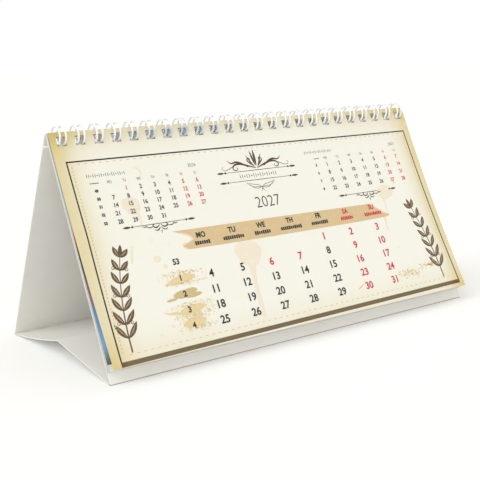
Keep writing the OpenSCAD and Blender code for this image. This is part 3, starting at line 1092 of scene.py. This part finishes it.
def draw_sprig(leaves, veins, side):
    """A laurel sprig that grows up an arc and leans towards the middle of the sheet."""
    height, foot, root, pairs = 44.0, 94.1, 91.2, 7
    radius = height * 3
    sweep = math.asin(height / radius)
    spread = math.radians(38)
    leaf_width, vein_width, tip_width, stalk, berry = 2.3, 0.26, 1.9, 3.1, 0.62

    def stem(turn):
        """A place on the stem."""
        return side * (root - radius + radius * math.cos(turn)), foot - radius * math.sin(turn)

    def from_stem(turn, aside, reach):
        """A place that a leaf or stalk reaches from the stem."""
        across, down = stem(turn)
        heading = math.pi / 2 - turn + aside
        return across - side * math.cos(heading) * reach, down - math.sin(heading) * reach

    # The stem ends at nine tenths of the arc and thins towards its tip
    leaves.stroke([(*stem(sweep * 0.09 * i), 0.36 - 0.02 * i) for i in range(11)], 1)
    for i in range(1, pairs + 1):
        turn = sweep * i / (pairs + 1)
        size = height * (0.2 - 0.011 * i)
        for way in (-1, 1):
            bow = side * way * 0.35
            tip = from_stem(turn, way * spread, size)
            leaves.blade(stem(turn), tip, leaf_width, bow, 1.2 + 0.05 * i)
            vein_root = from_stem(turn, way * spread, size * 0.18)
            vein_tip = from_stem(turn, way * spread, size * 0.8)
            veins.blade(vein_root, vein_tip, vein_width, bow * 0.6, 3)
            if i % 2 == 0:
                across, down = from_stem(turn, way * 2 * spread, stalk)
                leaves.stroke([(*stem(turn), 0.1), (across, down, 0.1)], 1.1)
                corners = ((1, 0), (0, 1), (-1, 0), (0, -1))
                ring = [(across + berry * x, down + berry * y, 0.12) for x, y in corners]
                leaves.stroke(ring, 1.9, True)
    crown = sweep * 0.88
    leaves.blade(stem(crown), from_stem(crown, 0, height * 0.12), tip_width, 0.0, 1.8)


def build_sprigs():
    inks = bpy.context.scene.calendar_print
    leaves = Ink("sprigs", ink_material("Sprig ink", inks.umber, 0.12))
    veins = Ink("sprig_veins", ink_material("Vein tint", inks.ribbon, 0.3))
    for side in (-1, 1):
        draw_sprig(leaves, veins, side)
    leaves.lay_on_sheet(("print_sprigs",), "ink_sprigs")
    veins.lay_on_sheet()


# Wire


def wire_path():
    """The middle line of the whole wire."""
    scene = bpy.context.scene
    sheets, wire = scene.calendar_sheets, scene.calendar_wire
    centre = FrontPanel().pad(0, wire.drop, wire.out)
    half = (sheets.hole - wire.thickness - 2 * wire.play) / 2
    # Turns about X from the back: the loops are open inside the tent
    start, end = math.radians(-71), math.radians(245)
    arc_steps, bend_steps, tip_steps = 44, 6, 14

    def at(turn, across, along=0.0):
        """A point on the ring, or past its end by a stretch that touches it."""
        radial = Vector((0, math.cos(turn), math.sin(turn)))
        tangent = Vector((0, -math.sin(turn), math.cos(turn)))
        return centre + Vector((across, 0, 0)) + radial * wire.radius + tangent * along

    def leg(edge, way):
        """A bend out of the straight stretch, and one side of a loop up to its tip."""
        line = []
        for step in range(bend_steps + 1):
            turn = math.pi / 2 * step / bend_steps
            across = edge - way * wire.bend * (1 - math.sin(turn))
            line.append(at(start, across, -wire.bend * math.cos(turn)))
        return line + [at(start + (end - start) * step / arc_steps, edge) for step in range(1, arc_steps)]

    points = []
    for index in range(sheets.holes):
        x = (index - (sheets.holes - 1) / 2) * sheets.pitch
        points += leg(x - half, 1)
        for step in range(tip_steps + 1):
            turn = math.pi * step / tip_steps
            points.append(at(end, x - half * math.cos(turn), half * math.sin(turn)))
        points += reversed(leg(x + half, -1))
    cut_end = Vector((wire.end, 0, 0))
    return [points[0] - cut_end, *points, points[-1] + cut_end]


def build_wire():
    wire = bpy.context.scene.calendar_wire
    curve = tube_curve("wire", wire.thickness / 2, 3)
    spline = curve.splines.new("POLY")
    points = wire_path()
    spline.points.add(len(points) - 1)
    for point, place in zip(spline.points, points):
        point.co = (*place, 1)
    bm = bmesh.new()
    merge(bm, baked([in_scene("wire", curve)])[0])
    coating = wire_material(wire)
    add_piece(bm, "twin_loop_wire", "easel", coating, replaces=("wire_binding",), slot="wire", sharp=40)


# Stage


def build_floor(studio):
    bm = bmesh.new()
    bmesh.ops.create_grid(bm, x_segments=1, y_segments=1, size=studio.reach)
    shader = Shader("Studio floor", studio.floor, 0.8)
    shader.set("Specular IOR Level", 0.0)
    shader.set("Emission Color", (1, 1, 1))
    seen = shader.node("LightPath").outputs["Is Camera Ray"]
    shader.set("Emission Strength", shader.math("MULTIPLY", seen, studio.glow))
    mesh = to_mesh(bm, "floor")
    mesh.materials.append(shader.material)
    floor = in_scene("floor", mesh)
    floor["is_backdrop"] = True


def sun_light(name, azimuth, elevation, spread, strength, colour):
    """A soft light from a direction: azimuth 0 is the front and 90 the right."""
    data = bpy.data.lights.new(name, "SUN")
    data.energy = strength
    data.color = colour
    data.angle = math.radians(spread)
    lamp = in_scene(name, data)
    turn, rise = math.radians(azimuth), math.radians(elevation)
    way = Vector((math.sin(turn) * math.cos(rise), -math.cos(turn) * math.cos(rise), math.sin(rise)))
    lamp.location = way
    lamp.rotation_euler = way.to_track_quat("Z", "Y").to_euler()


def build_lights(studio):
    """A soft light from all round that the camera sees as white, and two lamps."""
    world = bpy.data.worlds.new("Studio")
    bpy.context.scene.world = world
    world.use_nodes = True
    nodes = Nodes(world.node_tree)
    ray = nodes.node("LightPath").outputs
    seen = nodes.math("MAXIMUM", ray["Is Camera Ray"], ray["Is Glossy Ray"])
    colour = nodes.mix(seen, shade(studio.warmth, studio.ambient), (1, 1, 1))
    nodes.feed(world.node_tree.nodes["Background"].inputs["Color"], colour)
    sun_light("Key", azimuth=-18, elevation=8, spread=60, strength=studio.key, colour=studio.lamps)
    sun_light("Side", azimuth=-80, elevation=45, spread=60, strength=studio.side, colour=studio.lamps)


def build_camera(studio):
    """Sees the object as the photograph does, for a square frame."""
    turn = Matrix.Rotation(-studio.azimuth, 4, "Z")
    turn = turn @ Matrix.Rotation(math.pi / 2 - studio.elevation, 4, "X")
    turn = turn @ Matrix.Rotation(studio.roll, 4, "Z")
    data = bpy.data.cameras.new("Camera")
    data.sensor_width = 36
    data.lens = studio.focal
    data.clip_start = 0.01
    camera = in_scene("Camera", data)
    camera.matrix_world = Matrix.Translation(Vector(studio.position)) @ turn
    bpy.context.scene.camera = camera


# Operators


class CALENDAR_OT_stage(bpy.types.Operator):
    """Sets up floor, lights and camera"""

    bl_idname = "calendar.stage"
    bl_label = "Stage"

    def execute(self, context):
        studio = context.scene.calendar_studio
        context.scene.view_settings.view_transform = "Standard"
        build_floor(studio)
        build_lights(studio)
        build_camera(studio)
        return {"FINISHED"}


class CALENDAR_OT_easel(bpy.types.Operator):
    """Gives the folded card its material"""

    bl_idname = "calendar.easel"
    bl_label = "Easel card"

    def execute(self, context):
        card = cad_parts["easel_card"].data
        card.materials.clear()
        card.materials.append(card_material(context.scene.calendar_easel))
        return {"FINISHED"}


class CALENDAR_OT_sheets(bpy.types.Operator):
    """Builds the month sheet and the sheets behind it"""

    bl_idname = "calendar.sheets"
    bl_label = "Sheets"

    def execute(self, context):
        build_month_sheet()
        build_pad()
        build_second_print()
        return {"FINISHED"}


class CALENDAR_OT_wire(bpy.types.Operator):
    """Builds the twin-loop wire"""

    bl_idname = "calendar.wire"
    bl_label = "Twin-loop wire"

    def execute(self, context):
        build_wire()
        return {"FINISHED"}


class CALENDAR_OT_layout(bpy.types.Operator):
    """Prints border, ribbon, blots and stains"""

    bl_idname = "calendar.layout"
    bl_label = "Border, ribbon and blots"

    def execute(self, context):
        build_border()
        build_ribbon()
        build_stains()
        build_blots()
        return {"FINISHED"}


class CALENDAR_OT_numerals(bpy.types.Operator):
    """Prints the days, weeks and years"""

    bl_idname = "calendar.numerals"
    bl_label = "Numerals"

    def execute(self, context):
        build_numerals()
        return {"FINISHED"}


class CALENDAR_OT_ornaments(bpy.types.Operator):
    """Prints scrolls, rules and sprigs"""

    bl_idname = "calendar.ornaments"
    bl_label = "Ornaments"

    def execute(self, context):
        build_ornaments()
        build_sprigs()
        return {"FINISHED"}


GROUPS = {
    "calendar_easel": CalendarEasel,
    "calendar_sheets": CalendarSheets,
    "calendar_wire": CalendarWire,
    "calendar_print": CalendarPrint,
    "calendar_studio": CalendarStudio,
}
OPERATORS = [
    CALENDAR_OT_stage,
    CALENDAR_OT_easel,
    CALENDAR_OT_sheets,
    CALENDAR_OT_wire,
    CALENDAR_OT_layout,
    CALENDAR_OT_numerals,
    CALENDAR_OT_ornaments,
]


class CALENDAR_PT_panel(bpy.types.Panel):
    """Lists the calendar's pieces and sizes"""

    bl_idname = "CALENDAR_PT_panel"
    bl_label = "Desk calendar"
    bl_space_type = "VIEW_3D"
    bl_region_type = "UI"
    bl_category = "Calendar"

    def draw(self, context):
        for operator in OPERATORS:
            self.layout.operator(operator.bl_idname)
        for name, group in GROUPS.items():
            box = self.layout.box()
            for key in group.__annotations__:
                box.prop(getattr(context.scene, name), key)


CLASSES = [*GROUPS.values(), *OPERATORS, CALENDAR_PT_panel]


def register():
    for cls in CLASSES:
        bpy.utils.register_class(cls)
    for name, group in GROUPS.items():
        setattr(bpy.types.Scene, name, bpy.props.PointerProperty(type=group))


def unregister():
    for name in GROUPS:
        delattr(bpy.types.Scene, name)
    for cls in reversed(CLASSES):
        bpy.utils.unregister_class(cls)


def main():
    register()
    bpy.ops.calendar.stage()
    bpy.ops.calendar.easel()
    bpy.ops.calendar.sheets()
    bpy.ops.calendar.wire()
    bpy.ops.calendar.layout()
    bpy.ops.calendar.numerals()
    bpy.ops.calendar.ornaments()
    boxes = {"cad": CAD_BOX, "visual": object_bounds()}
    {key: [list(corner) for corner in box] for key, box in boxes.items()}


if __name__ == "__main__":
    main()
